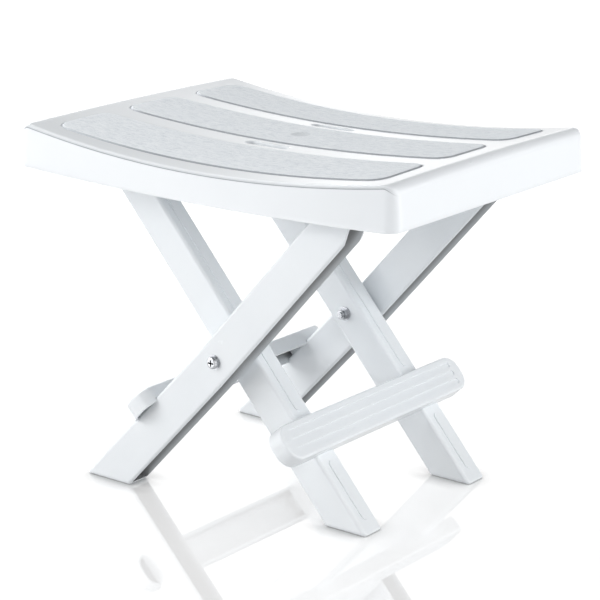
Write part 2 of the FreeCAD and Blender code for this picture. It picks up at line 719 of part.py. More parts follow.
def bolt(name, side):
    """A pan-head bolt with a cross recess."""
    body = new_body(name)
    reach = "2 * leg_thick + leg_gap + washer_clear + washer_thick + nut_height + collar_height + bolt_stick"
    sk = sketch_on(body, name + "_shank", "XY_Plane", "-(%s)" % reach)
    disc(sk, "0", "0", "bolt_dia / 2")
    pad(body, sk, name + "_shank_pad", "%s + washer_thick" % reach)
    sk = sketch_on(body, name + "_head", "XY_Plane", "washer_thick")
    disc(sk, "0", "0", "head_dia / 2")
    pad(body, sk, name + "_head_pad", "head_height")
    top = size("washer_thick + head_height")
    wide = size("head_dia") - 0.1
    round_edges(body, name + "_dome", "head_dome",
                lambda e: abs(e.BoundBox.ZMin - top) < 0.01 and e.BoundBox.XLength > wide)
    sk = sketch_on(body, name + "_recess", "XY_Plane", "washer_thick + head_height")
    a = "recess_length / 2"
    b = "recess_width / 2"
    outline(sk, [
        (a, "-" + b), (a, b), (b, b), (b, a), ("-" + b, a), ("-" + b, b),
        ("-" + a, b), ("-" + a, "-" + b), ("-" + b, "-" + b), ("-" + b, "-" + a), (b, "-" + a), (b, "-" + b),
    ])
    pocket(body, sk, name + "_recess_cut", "recess_depth")
    stand(body, side, "0", "outer_plane", "pivot_height")


def lock_nut(name, side):
    """A hexagon nut with a round collar on the bolt's free end."""
    body = new_body(name)
    sk = sketch_on(body, name + "_hex", "XY_Plane", NUT_FACE)
    corner = "nut_flats / sqrt(3)"
    half = "nut_flats / 2"
    outline(sk, [
        (corner, "0"), (corner + " / 2", half), ("-" + corner + " / 2", half),
        ("-" + corner, "0"), ("-" + corner + " / 2", "-" + half), (corner + " / 2", "-" + half),
    ])
    pad(body, sk, name + "_hex_pad", "nut_height", back=True)
    sk = sketch_on(body, name + "_collar", "XY_Plane", NUT_FACE + " - nut_height")
    disc(sk, "0", "0", "collar_dia / 2")
    pad(body, sk, name + "_collar_pad", "collar_height", back=True)
    sk = sketch_on(body, name + "_thread", "XY_Plane", NUT_FACE)
    disc(sk, "0", "0", "bolt_dia / 2")
    pocket(body, sk, name + "_thread_cut", "nut_height + collar_height")
    stand(body, side, "0", "outer_plane", "pivot_height")


def hinge_pin(name, side):
    """A headed pin through the two ears and the inner leg's end, with its head on the inner ear."""
    body = new_body(name)
    reach = "(%s) - (%s)" % (EAR_OUT, EAR_IN)
    sk = sketch_on(body, name + "_shank", "XY_Plane")
    disc(sk, "0", "0", "pin_dia / 2")
    pad(body, sk, name + "_shank_pad", reach, back=True)
    sk = sketch_on(body, name + "_head", "XY_Plane", "-(%s)" % reach)
    disc(sk, "0", "0", "pin_head_dia / 2")
    pad(body, sk, name + "_head_pad", "pin_head_thick", back=True)
    stand(body, side, HINGE_X, EAR_OUT, "hinge_height")


for tag, side in (("front", -1), ("rear", 1)):
    bolt("pivot_bolt_" + tag, side)
    hole = "bolt_dia / 2 + bolt_clear"
    ring("head_washer_" + tag, side, "0", "washer_thick", "washer_dia / 2", hole)
    ring("spacer_ring_" + tag, side, "-(leg_thick + leg_gap - washer_clear)", "leg_gap - washer_clear", "spacer_dia / 2", hole)
    ring("nut_washer_" + tag, side, NUT_FACE, "washer_thick", "washer_dia / 2", hole)
    lock_nut("lock_nut_" + tag, side)
    hinge_pin("hinge_pin_" + tag, side)

doc.removeObject(probe.Name)
doc.recompute()

# every object of the document must have built before the files are written
for obj in doc.Objects:
    if "Invalid" in obj.State or "Error" in obj.State:
        raise RuntimeError("%s did not build" % obj.Label)
for obj in parts:
    if obj.Shape.isNull() or not obj.Shape.isValid():
        raise RuntimeError("%s has no valid shape" % obj.Label)
    if len(obj.Shape.Solids) != 1:
        raise RuntimeError("%s has %d solids" % (obj.Label, len(obj.Shape.Solids)))
    obj.Shape.exportStep(os.path.join("parts", obj.Label + ".step"))
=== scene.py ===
import math

import bpy
import numpy as np
from mathutils import Matrix, Vector


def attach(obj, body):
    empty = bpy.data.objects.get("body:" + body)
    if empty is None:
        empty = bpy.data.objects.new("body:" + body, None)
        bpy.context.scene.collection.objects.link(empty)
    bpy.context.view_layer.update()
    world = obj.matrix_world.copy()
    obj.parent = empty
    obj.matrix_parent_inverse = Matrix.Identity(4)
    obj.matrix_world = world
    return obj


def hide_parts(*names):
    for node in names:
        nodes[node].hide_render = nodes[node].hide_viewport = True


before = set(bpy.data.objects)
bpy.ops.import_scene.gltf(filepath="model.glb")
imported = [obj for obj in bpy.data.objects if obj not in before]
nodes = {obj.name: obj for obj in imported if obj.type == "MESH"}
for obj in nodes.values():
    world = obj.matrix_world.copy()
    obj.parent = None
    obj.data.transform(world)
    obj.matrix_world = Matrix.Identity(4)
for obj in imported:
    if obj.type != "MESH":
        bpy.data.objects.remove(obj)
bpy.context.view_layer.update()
MM = 0.001
SIGNS = [(sx, sy) for sx in (-1, 1) for sy in (-1, 1)]


# The seat's sizes, in millimetres. Its long edges run along X. Steps are distances outside an
# outline, negative inside it, and each has a level beside it.

SEAT = dict(
    half_x=225.0, half_y=160.0, base_z=307.5, corner=12.0, wall=3.2,
    draft=math.tan(math.radians(3.4)),
    edge_mid=338.5, sag=19.5, crown_mid=7.5, crown_end=1.0,
    rim_mid=308.5, rim_rise=5.5, rim_round=0.9, rim_round_inside=0.6,
    long_round=2.5, end_round=10.0, inside_round=2.0,
    inset_end=17.0, inset_long=9.0,
)
GRID = dict(
    half_x=SEAT["half_x"] - SEAT["inset_end"], half_y=SEAT["half_y"] - SEAT["inset_long"],
    corner=1.0, corner_turns=(0, 9, 18, 27, 36), fade=1.2, spacing=5.0, least_gap=0.35,
)
PANEL = dict(
    half_x=194.0, corner=16.0, fade=1.45, rise=1.2,
    rows=[(0.0, 37.8), (100.7, 36.3), (-100.7, 36.3)],
    steps=[-2.7, -2.0, -1.4, -0.9, -0.5, -0.2, -0.04, 0.12, 0.95, 1.25],
    levels=[1.0, 0.975, 0.89, 0.75, 0.56, 0.3, 0.0, -0.4, -0.4, 0.0],
    grain_steps=[0.95, 1.25], grain_levels=[1.0, 0.0],
    # painted shade, which also makes it matt, in the groove at the panels' foot
    shade_and_matt_steps=[-1.4, -0.5, 0.95, 1.25], shade_and_matt_levels=[0.0, 1.0, 1.0, 0.0],
    # the groove's painted shade fades towards the panels' low X ends
    faint_shade_x=-190.0, full_shade_x=-165.0, full_shade_x_front=-70.0, shade_fade_levels=[0.25, 1.0],
)
SLOT = dict(
    half_x=25.0, half_y=5.0, fade=2.2, rows=[51.1, -51.1], run_on=1.5, end_lines=[22.5, 20.0],
    # painted shade on the slots' lips and round them underneath, darker at their low X ends
    steps=[0.0, 0.18, 0.45, 0.9], drops=[0.75, 0.36, 0.1, 0.0], shade_and_matt_levels=[1.0, 0.8, 0.3, 0.0],
    under_steps=[0.0, 0.3], shade_and_matt_x=[-26.0, -17.0], shade_and_matt_along=[0.6, 0.1],
)
DISC = dict(
    radius=10.0, fade=1.6, depth=0.8,
    steps=[-6.0, -4.0, -2.5, -1.2, -0.3, 0.4], levels=[1.0, 0.88, 0.66, 0.36, 0.1, 0.0],
    # painted shade round the rim of the dish
    shade_and_matt_steps=[-1.2, 0.0], shade_and_matt_levels=[0.3, 0.0],
)
# the mould line under the long edges: drop below the rounding, depth, and painted shade that also
# makes it matt
MOULD_LINE = [(0.25, 0.0, 0.3), (0.45, 0.3, 1.0), (0.95, 0.3, 1.0), (1.15, 0.0, 0.0)]
# painted shade on the lowest rings of the long edges' rounding, which also makes them matt
EDGE_SHADE = 0.3
EDGE_SHADE_RINGS = 3
FILLET_START = 2.4
FILLET_ROUNDS = 30

RIB = dict(
    half_top=1.1, half_foot=0.847, sink=0.3, depth=8.0, cuts=48,
    along_rows=[0.0, 34.0, -34.0], along_half=219.4,
    across_rows=[-165.0, -110.0, -55.0, 55.0, 110.0, 165.0], across_half=155.6,
)
BOLT_Z = 150.0
HINGE_OVER_BOLT = 166.0
INNER_LEAN, OUTER_LEAN = math.radians(49.0), math.radians(48.1)
LEG_RUN = HINGE_OVER_BOLT / math.sin(INNER_LEAN)
HINGE = (-HINGE_OVER_BOLT / math.tan(INNER_LEAN), BOLT_Z + HINGE_OVER_BOLT)
NOSE = (LEG_RUN * math.cos(OUTER_LEAN), BOLT_Z + LEG_RUN * math.sin(OUTER_LEAN))
LUG_SINK = 1.5
LUG_BEVEL = 0.5
EAR = dict(half_top=16.0, radius=11.0, y_mid=90.0, plates=[(68.6, 72.6), (101.4, 104.6)])
CATCH = dict(radius=12.9, back=15.0, lip=4.5, y_mid=119.0, plate=(107.0, 131.0))
CRISP_DEG = 40


def saddle_z(x, y):
    """Height of the seat's top: edges that rise with the square of x, plus a crown across y that
    fades to the ends."""
    u = (x / SEAT["half_x"]) ** 2
    crown = SEAT["crown_mid"] + (SEAT["crown_end"] - SEAT["crown_mid"]) * u
    return SEAT["edge_mid"] + SEAT["sag"] * u + crown * (1 - (y / SEAT["half_y"]) ** 2)


def rim_z(x):
    """Height of the skirt's lower edge, which rises with the square of x."""
    return SEAT["rim_mid"] + SEAT["rim_rise"] * (x / SEAT["half_x"]) ** 2


def corner_warp(x, y, cx, cy, sx, sy, radius, fade_to):
    """Moves grid points near a square corner so that the square's outline becomes an arc. The
    move grows with the distance from the arc's centre and fades out at fade_to radii."""
    a = np.maximum(sx * (x - cx) / radius, 0.0)
    b = np.maximum(sy * (y - cy) / radius, 0.0)
    square = np.maximum(a, b)
    circle = np.hypot(a, b)
    safe_square = np.where(square > 1e-9, square, 1.0)
    safe_circle = np.where(circle > 1e-9, circle, 1.0)
    beyond = np.clip((fade_to - square) / (fade_to - 1.0), 0.0, 1.0)
    fade = np.where(square <= 1.0, square, beyond * beyond * (3 - 2 * beyond))
    dx = radius * (a / safe_circle - a / safe_square) * fade
    dy = radius * (b / safe_circle - b / safe_square) * fade
    return x + sx * dx, y + sy * dy


def grid_lines(limit, features):
    """Lines at each feature, and even ones between them out to the limit, apart from those that
    would lie close to a feature."""
    fixed = np.unique(np.round([v for v in features if abs(v) < limit] + [-limit, limit], 4))
    even = np.linspace(-limit, limit, int(2 * limit / GRID["spacing"]) + 1)
    gap = np.abs(even[:, None] - fixed[None, :]).min(1)
    return np.sort(np.concatenate([fixed, even[gap > GRID["least_gap"] * GRID["spacing"]]]))


def square_distance(x, y, mid, half_x, half_y):
    """Distance outside a rectangle about (0, mid), measured along the nearer axis, negative
    inside."""
    return np.maximum(np.abs(x) - half_x, np.abs(y - mid) - half_y)


def slot_distance(x, y):
    """Distance outside the nearer drain slot, negative inside."""
    return np.min([square_distance(x, y, mid, SLOT["half_x"], SLOT["half_y"])
                   for mid in SLOT["rows"]], axis=0)


def panel_height(x, y):
    """Rise of the three panels over the seat: a rounded top edge, a steep wall and a narrow
    groove at its foot, with a shallow round dish in the middle. The distances are those of the
    unwarped grid, so they follow rounded corners. Also gives where the panels' grain lies, and
    the painted shade in the groove and round the dish's rim, which also makes them matt, both
    from 0 to 1. The painted shade is fainter at the panels' low X ends, where light falls on the
    groove, over a longer run on the panel at negative Y."""
    rise, grain, shade_and_matt = np.zeros_like(x), np.zeros_like(x), np.zeros_like(x)
    for mid, half in PANEL["rows"]:
        s = square_distance(x, y, mid, PANEL["half_x"], half)
        rise = rise + PANEL["rise"] * np.interp(s, PANEL["steps"], PANEL["levels"])
        grain = np.maximum(grain, np.interp(s, PANEL["grain_steps"], PANEL["grain_levels"]))
        full_shade_x = PANEL["full_shade_x_front"] if mid < 0 else PANEL["full_shade_x"]
        # painted shade fades towards low X, where light falls on the groove
        shade_fade = np.interp(x, [PANEL["faint_shade_x"], full_shade_x], PANEL["shade_fade_levels"])
        shade_and_matt = np.maximum(shade_and_matt, shade_fade * np.interp(s, PANEL["shade_and_matt_steps"], PANEL["shade_and_matt_levels"]))
    s = square_distance(x, y, 0.0, DISC["radius"], DISC["radius"])
    rise = rise - DISC["depth"] * np.interp(s, DISC["steps"], DISC["levels"])
    shade_and_matt = np.maximum(shade_and_matt, np.interp(s, DISC["shade_and_matt_steps"], DISC["shade_and_matt_levels"]))
    return rise, grain, shade_and_matt


def warp_plan(x, y):
    """Rounds the corners of panels, slots and the middle disc in plan, adding up the moves of
    every corner, and then the corners of the grid itself."""
    spots = []
    for sx, sy in SIGNS:
        spots += [(sx * (PANEL["half_x"] - PANEL["corner"]), mid + sy * (half - PANEL["corner"]),
                   sx, sy, PANEL["corner"], PANEL["fade"]) for mid, half in PANEL["rows"]]
        spots += [(sx * (SLOT["half_x"] - SLOT["half_y"]), mid,
                   sx, sy, SLOT["half_y"], SLOT["fade"]) for mid in SLOT["rows"]]
        spots.append((0.0, 0.0, sx, sy, DISC["radius"], DISC["fade"]))
    wx, wy = x.copy(), y.copy()
    for spot in spots:
        mx, my = corner_warp(x, y, *spot)
        wx, wy = wx + mx - x, wy + my - y
    r = GRID["corner"]
    for sx, sy in SIGNS:
        wx, wy = corner_warp(wx, wy, sx * (GRID["half_x"] - r), sy * (GRID["half_y"] - r),
                             sx, sy, r, GRID["fade"])
    return wx, wy


def seat_lines():
    """The grid's lines along X and Y: close together over every edge, and at even angles round
    the grid's corners."""
    turn = GRID["corner"] * (np.tan(np.radians(GRID["corner_turns"])) - 1.0)
    step = np.array(PANEL["steps"] + [1.7])
    lip = np.array(SLOT["steps"] + [SLOT["run_on"]])
    ring = DISC["radius"] + np.array(DISC["steps"] + [1.2, -5.0])
    fx = np.concatenate([PANEL["half_x"] + step, SLOT["half_x"] + lip, SLOT["end_lines"], ring,
                         GRID["half_x"] + turn])
    fy = np.concatenate([ring, GRID["half_y"] + turn])
    rows = [mid + sign * (half + step) for mid, half in PANEL["rows"] for sign in (-1, 1)]
    rows += [mid + sign * (SLOT["half_y"] + lip) for mid in SLOT["rows"] for sign in (-1, 1)]
    rows += [mid + SLOT["half_y"] * np.array([-0.5, 0.0, 0.5]) for mid in SLOT["rows"]]
    xs = grid_lines(GRID["half_x"], [0.0] + list(fx) + list(-fx))
    ys = grid_lines(GRID["half_y"], [0.0] + list(fy) + list(-fy) + list(np.concatenate(rows)))
    return xs, ys


def slot_walls(index, hole, count):
    """Quads that join the top grid to the under grid round every hole: one for each side of a
    hole cell that has a solid cell beside it."""
    a, b, c, d = index[:-1, :-1], index[1:, :-1], index[1:, 1:], index[:-1, 1:]
    solid = ~np.pad(hole, 1, constant_values=False)
    sides = ((solid[:-2, 1:-1], d, a), (solid[2:, 1:-1], b, c),
             (solid[1:-1, :-2], a, b), (solid[1:-1, 2:], c, d))
    out = []
    for beside, p, q in sides:
        sel = hole & beside
        out.append(np.stack([p[sel], q[sel], q[sel] + count, p[sel] + count], 1))
    return np.concatenate(out)


def skirt_rings(edge):
    """Rings of points from the top grid's edge to the under grid's edge, each with its painted
    shade, which also makes it matt.
    A ring is the seat's outline moved in by a distance, at a height: over the edge's rounding,
    down the drafted skirt with its mould line, round the rim and up the inside wall."""
    wall, draft = SEAT["wall"], SEAT["draft"]
    slant = math.sqrt(1 + draft * draft)
    turn_at = np.array([GRID["half_x"], GRID["half_y"]]) - GRID["corner"]
    straight = np.array([SEAT["half_x"], SEAT["half_y"]]) - SEAT["corner"]
    centre = np.clip(edge, -turn_at, turn_at)
    normal = edge - centre
    normal /= np.linalg.norm(normal, axis=1)[:, None]
    base = centre * straight / turn_at + normal * SEAT["corner"]
    ends = normal[:, 0] ** 2
    inset = SEAT["inset_long"] + (SEAT["inset_end"] - SEAT["inset_long"]) * ends
    reach = (base - edge) / inset[:, None]

    def plan(d):
        """The outline moved in by d."""
        return base - reach * d[:, None]

    def top_at(d):
        """The saddle's height on the outline moved in by d."""
        return saddle_z(*plan(d).T)

    def wall_at(z, start=0.0):
        """How far in the drafted wall is at height z, if it is at start at the base."""
        return start + (z - SEAT["base_z"]) * draft

    def fillet(radius, lift, start, steps):
        """Arc between the drafted wall that begins at start and the saddle moved up by lift: its
        centre lies one radius from both, found by stepping until it stays put."""
        d1 = start + FILLET_START + radius
        z1 = top_at(d1) + lift
        slope = top_at(d1 + 0.5) - top_at(d1 - 0.5)
        tilt = np.sqrt(1 + slope ** 2)
        dc = d1
        for _ in range(FILLET_ROUNDS):
            zc = z1 + slope * (dc - d1) - radius * tilt
            dc = wall_at(zc, start) + radius * slant
        first, last = math.atan2(draft, -1.0), np.arctan2(1 / tilt, -slope / tilt)
        turns = [first + (last - first) * k / steps for k in range(steps + 1)]
        return [(dc + radius * np.cos(a), zc + radius * np.sin(a)) for a in turns]

    rings = []
    over = fillet(SEAT["long_round"] + (SEAT["end_round"] - SEAT["long_round"]) * ends, 0.0, 0.0, 9)
    for share in (0.8, 0.4):
        d = over[-1][0] + (inset - over[-1][0]) * share
        rings.append((d, top_at(d), 0.0))
    rings += [(d, z, 0.0) for d, z in over[:EDGE_SHADE_RINGS - 1:-1]]
    # the lowest rings of the rounding get painted shade
    rings += [(d, z, EDGE_SHADE) for d, z in over[EDGE_SHADE_RINGS - 1::-1]]
    high = over[0][1]
    # the mould line gets painted shade as well as its depth
    for drop, deep, shade_and_matt in MOULD_LINE:
        rings.append((wall_at(high - drop) + deep * (1 - ends), high - drop, shade_and_matt))
    high = high - MOULD_LINE[-1][0]
    rim, soft = rim_z(base[:, 0]), SEAT["rim_round"]
    for share in (0.12, 0.35, 0.65, 0.9):
        z = high + (rim + soft - high) * share
        rings.append((wall_at(z), z, 0.0))
    for a in np.radians((0, 30, 60, 90)):
        rings.append((wall_at(rim) + soft * (1 - np.cos(a)), rim + soft * (1 - np.sin(a)), 0.0))
    soft = SEAT["rim_round_inside"]
    for a in np.radians((0, 45, 90)):
        rings.append((wall_at(rim, wall) - soft * (1 - np.sin(a)),
                      rim + soft * (1 - np.cos(a)), 0.0))
    inner = fillet(np.full(len(edge), SEAT["inside_round"]), -wall, wall, 4)
    for share in (0.1, 0.5, 0.9):
        z = rim + soft + (inner[0][1] - rim - soft) * share
        rings.append((wall_at(z, wall), z, 0.0))
    rings += [(d, z, 0.0) for d, z in inner]
    for share in (0.4, 0.8):
        d = inner[-1][0] + (inset - inner[-1][0]) * share
        rings.append((d, top_at(d) - wall, 0.0))
    return [(np.column_stack([plan(d), z]), shade_and_matt * (1 - ends)) for d, z, shade_and_matt in rings]


def seat_arrays():
    """The seat's shell: a top and an under grid, joined through the drain slots and, round the
    edge, by the skirt's rings. Gives points, faces, and each point's grain and painted shade,
    which also makes it matt."""
    gx, gy = np.meshgrid(*seat_lines(), indexing="ij")
    px, py = warp_plan(gx, gy)
    rise, grain, shade_and_matt = panel_height(gx, gy)
    lip = slot_distance(gx, gy)
    rise = rise - np.interp(lip, SLOT["steps"], SLOT["drops"])
    # painted shade on the slot lips, darker at their low X ends
    shade_fade = np.interp(gx, SLOT["shade_and_matt_x"], SLOT["shade_and_matt_along"])
    shade_and_matt = np.maximum(shade_and_matt, shade_fade * np.interp(lip, SLOT["steps"], SLOT["shade_and_matt_levels"]))
    # painted shade round the slots on the underside
    shade_and_matt_under = shade_fade * np.interp(lip, SLOT["under_steps"], [1.0, 0.0])
    height = saddle_z(px, py)
    count = gx.size
    index = np.arange(count).reshape(gx.shape)
    hole = slot_distance((gx[:-1, :-1] + gx[1:, 1:]) / 2, (gy[:-1, :-1] + gy[1:, 1:]) / 2) < 0
    quads = np.stack([index[:-1, :-1], index[1:, :-1], index[1:, 1:], index[:-1, 1:]], -1)[~hole]
    faces = [quads, quads[:, ::-1] + count, slot_walls(index, hole, count)]
    # the grid's boundary, anticlockwise
    loop = np.concatenate([index[:, 0], index[-1, 1:], index[-2::-1, -1], index[0, -2:0:-1]])
    plan = np.column_stack([px.ravel(), py.ravel()])
    rings = skirt_rings(plan[loop])
    n = len(loop)
    chain = [loop] + [2 * count + k * n + np.arange(n) for k in range(len(rings))] + [loop + count]
    for upper, lower in zip(chain[:-1], chain[1:]):
        faces.append(np.stack([upper, lower, np.roll(lower, -1), np.roll(upper, -1)], 1))
    verts = [np.column_stack([plan, (height + rise).ravel()]),
             np.column_stack([plan, height.ravel() - SEAT["wall"]])]
    verts = np.concatenate(verts + [points for points, _ in rings])
    grain = np.concatenate([grain.ravel(), np.zeros(len(verts) - count)])
    shade_and_matt = np.concatenate([shade_and_matt.ravel(), shade_and_matt_under.ravel()] + [level for _, level in rings])
    return verts, np.concatenate(faces).tolist(), grain, shade_and_matt


def rib_arrays(along_x, at, half_run):
    """A rib under the seat: a four-cornered section, narrower at its foot, carried along the
    underside."""
    cuts = RIB["cuts"]
    run = np.linspace(-half_run, half_run, cuts + 1)[:, None] + np.zeros(4)
    section = [-RIB["half_top"], -RIB["half_foot"], RIB["half_foot"], RIB["half_top"]]
    across = at + np.array(section) + np.zeros((cuts + 1, 1))
    x, y = (run, across) if along_x else (across, run)
    drop = np.array([RIB["sink"], -RIB["depth"], -RIB["depth"], RIB["sink"]])
    z = saddle_z(x, y) - SEAT["wall"] + drop
    index = np.arange(4 * (cuts + 1)).reshape(cuts + 1, 4)
    turned = np.roll(index, -1, 1)
    quads = np.stack([index[:-1], turned[:-1], turned[1:], index[1:]], -1).reshape(-1, 4)
    quads = np.concatenate([quads, index[:1, ::-1], index[-1:]])
    if not along_x:
        quads = quads[:, ::-1]
    return np.stack([x.ravel(), y.ravel(), z.ravel()], 1), quads.tolist()


def prism_arrays(outline, y_low, y_high):
    """A plate with the outline in X and Z between two Y values: four copies of the outline, the
    outer two drawn in for a fine bevel."""
    pts = np.array(outline, float)
    ahead = np.roll(pts, -1, 0)
    if np.sum(pts[:, 0] * ahead[:, 1] - ahead[:, 0] * pts[:, 1]) < 0:
        pts = pts[::-1]
    count = len(pts)
    side = np.roll(pts, -1, 0) - pts
    length = np.maximum(np.linalg.norm(side, axis=1), 1e-9)[:, None]
    normal = np.stack([side[:, 1], -side[:, 0]], 1) / length
    normal = normal + np.roll(normal, 1, 0)
    normal /= np.maximum(np.linalg.norm(normal, axis=1), 1e-9)[:, None]
    rows = []
    for inset, y in ((LUG_BEVEL, y_low), (0.0, y_low + LUG_BEVEL),
                     (0.0, y_high - LUG_BEVEL), (LUG_BEVEL, y_high)):
        p = pts - normal * inset
        rows.append(np.stack([p[:, 0], np.full(count, y), p[:, 1]], 1))
    index = np.arange(4 * count).reshape(4, count)
    turned = np.roll(index, -1, 1)
    quads = np.stack([index[:-1], index[1:], turned[1:], turned[:-1]], -1).reshape(-1, 4)
    caps = [index[0].tolist(), index[3, ::-1].tolist()]
    return np.concatenate(rows), caps + quads.tolist()


def arc(centre, radius, a0, a1, steps):
    """Points on an arc in X and Z, in degrees."""
    a = np.radians(np.linspace(a0, a1, steps + 1))
    return list(zip(centre[0] + radius * np.cos(a), centre[1] + radius * np.sin(a)))


def seat_lugs():
    """Hinge ears and the catches that hold the outer legs' tops, all under the seat."""
    x, z = HINGE
    top = saddle_z(x, EAR["y_mid"]) - LUG_SINK
    ear = [(x + EAR["half_top"], top), (x - EAR["half_top"], top)]
    ear += arc(HINGE, EAR["radius"], 180, 360, 20)
    x, z = NOSE
    top = saddle_z(x, CATCH["y_mid"]) - LUG_SINK
    lip_x = x + CATCH["radius"] + CATCH["lip"]
    catch = [(x - CATCH["back"], top), (x - CATCH["back"], z + CATCH["radius"])]
    catch += arc(NOSE, CATCH["radius"], 90, 0, 10) + [(lip_x, z), (lip_x, top)]
    plates = [(ear, plate) for plate in EAR["plates"]] + [(catch, CATCH["plate"])]
    return [prism_arrays(shape, *sorted((sign * plate[0], sign * plate[1])))
            for sign in (-1, 1) for shape, plate in plates]


def mesh_object(name, verts, faces):
    """A smooth mesh object from millimetre points, with its sharper edges kept crisp."""
    mesh = bpy.data.meshes.new(name)
    mesh.from_pydata((np.asarray(verts) * MM).tolist(), [], faces)
    mesh.validate()
    mesh.update()
    obj = bpy.data.objects.new(name, mesh)
    bpy.context.scene.collection.objects.link(obj)
    mesh.polygons.foreach_set("use_smooth", [True] * len(mesh.polygons))
    mesh.set_sharp_from_angle(angle=math.radians(CRISP_DEG))
    return obj


def build_seat():
    """The seat as one piece, with point attributes that mark the grained panels and the painted
    shade, which also makes it matt, in its grooves, slot lips and edges."""
    verts, faces, grain, shade_and_matt = seat_arrays()
    extra = [rib_arrays(True, y, RIB["along_half"]) for y in RIB["along_rows"]]
    extra += [rib_arrays(False, x, RIB["across_half"]) for x in RIB["across_rows"]]
    extra += seat_lugs()
    for points, polygons in extra:
        base = len(verts)
        verts = np.concatenate([verts, points])
        faces = faces + [[i + base for i in polygon] for polygon in polygons]
    plain = np.zeros(len(verts) - len(grain))
    obj = mesh_object("seat_moulding", verts, faces)
    for name, values in (("panel", grain), ("painted_shade", shade_and_matt)):
        data = obj.data.attributes.new(name, "FLOAT", "POINT").data
        data.foreach_set("value", np.concatenate([values, plain]))
    return obj


# Materials. Tones are pairs of colours between which a surface drifts.

LEG_TONES = ((0.835, 0.87, 0.9), (0.865, 0.895, 0.92))
SPACER_TONES = ((0.74, 0.76, 0.78), (0.8, 0.81, 0.83))
SEAT_TONES = ((0.845, 0.875, 0.905), (0.87, 0.9, 0.925))
ZINC_TONES = ((0.34, 0.35, 0.37), (0.52, 0.53, 0.55))
GRAIN_STOPS = [(0.38, (0.64, 0.685, 0.73)), (0.5, (0.81, 0.85, 0.882)),
               (0.62, (0.89, 0.92, 0.945))]
# painted shade: the grey mixed into the seat's grooves, slot lips and edges
SEAT_SHADE_GREY = (0.34, 0.36, 0.39)
# painted shade: the darker colours mixed in deep inside channels and recesses of the legs, spacers,
# inner bar and zinc parts
CHANNEL_SHADE = (0.42, 0.43, 0.44)
BAR_HOLLOW_SHADE = (0.74, 0.77, 0.8)
ZINC_HOLLOW_SHADE = (0.03, 0.03, 0.035)
CHANNEL_REACH, CHANNEL_OPEN = 0.08, (0.34, 0.5)
ZINC_REACH, ZINC_OPEN = 0.004, (0.4, 0.8)
STREAKS, PITS = (110, 620, 620), (520, 1300, 1300)
STREAK_SHARE, PIT_SHARE = 0.6, 0.4
GROOVE_ROUGHNESS = 0.65
PEEL_SCALE, GLOSS_SCALE = 900.0, 60.0
PLASTIC_IOR = 1.49


def new_material(name):
    """A node material with its Principled shader."""
    mat = bpy.data.materials.new(name)
    mat.use_nodes = True
    tree = mat.node_tree
    return mat, tree, tree.nodes["Principled BSDF"]


def node(tree, kind, **values):
    """Adds a shader node and sets its inputs or properties by name."""
    made = tree.nodes.new(kind)
    for key, value in values.items():
        if key in made.inputs:
            made.inputs[key].default_value = value
        else:
            setattr(made, key, value)
    return made


def plug(tree, value, socket):
    """Links a socket's value to an input, or sets a number or colour on it."""
    if isinstance(value, bpy.types.NodeSocket):
        tree.links.new(value, socket)
    else:
        socket.default_value = (*value, 1) if isinstance(value, tuple) else value


def noise(tree, scale, detail, stretch=(1, 1, 1), rough=0.5):
    """Object-space noise, stretched along the axes."""
    coord = node(tree, "ShaderNodeTexCoord")
    mapping = node(tree, "ShaderNodeMapping", Scale=stretch)
    made = node(tree, "ShaderNodeTexNoise", Scale=scale, Detail=detail, Roughness=rough)
    tree.links.new(coord.outputs["Object"], mapping.inputs["Vector"])
    tree.links.new(mapping.outputs["Vector"], made.inputs["Vector"])
    return made.outputs["Fac"]


def ramp(tree, value, stops):
    """A colour ramp of (position, colour) stops."""
    made = node(tree, "ShaderNodeValToRGB")
    elements = made.color_ramp.elements
    for element, (position, colour) in zip(elements, (stops[0], stops[-1])):
        element.position = position
        element.color = (*colour, 1)
    for position, colour in stops[1:-1]:
        elements.new(position).color = (*colour, 1)
    tree.links.new(value, made.inputs["Fac"])
    return made.outputs["Color"]


def drift(tree, scale, tones, detail=4.0):
    """A faint cloudy drift between two tones."""
    return ramp(tree, noise(tree, scale, detail), [(0.3, tones[0]), (0.7, tones[1])])


def math_node(tree, operation, a, b):
    """A math node on sockets or numbers."""
    made = node(tree, "ShaderNodeMath", operation=operation)
    plug(tree, a, made.inputs[0])
    plug(tree, b, made.inputs[1])
    return made.outputs[0]


def mix(tree, kind, share, a, b):
    """Goes from a to b with the share: numbers for kind FLOAT, colours for kind RGBA."""
    made = node(tree, "ShaderNodeMix", data_type=kind)
    for key, value in (("Factor", share), ("A", a), ("B", b)):
        plug(tree, value, made.inputs[key])
    return made.outputs["Result"]


def map_range(tree, value, start, stop, first, last, curve="LINEAR"):
    """Goes from first to last while the value goes from start to stop."""
    made = node(tree, "ShaderNodeMapRange", interpolation_type=curve)
    limits = {"From Min": start, "From Max": stop, "To Min": first, "To Max": last}
    for key, limit in limits.items():
        made.inputs[key].default_value = limit
    tree.links.new(value, made.inputs["Value"])
    return made.outputs["Result"]


def bump(tree, shader, height, distance, strength):
    """A bump of the given depth in metres."""
    made = node(tree, "ShaderNodeBump", Strength=strength, Distance=distance)
    tree.links.new(height, made.inputs["Height"])
    tree.links.new(made.outputs["Normal"], shader.inputs["Normal"])


def paint_hollow_shade(tree, shader, plain, deep, reach, open_shares):
    """Paints shade into the colour: mixes the plain colour with a darker deep one where the piece's
    own walls close a point in. The two open shares of its surroundings, out to reach, are those at
    which it is wholly the painted shade and wholly plain."""
    near = node(tree, "ShaderNodeAmbientOcclusion", samples=24, only_local=True, Distance=reach)
    share = map_range(tree, near.outputs["AO"], *open_shares, 0.0, 1.0, "SMOOTHSTEP")
    tree.links.new(mix(tree, "RGBA", share, deep, plain), shader.inputs["Base Color"])


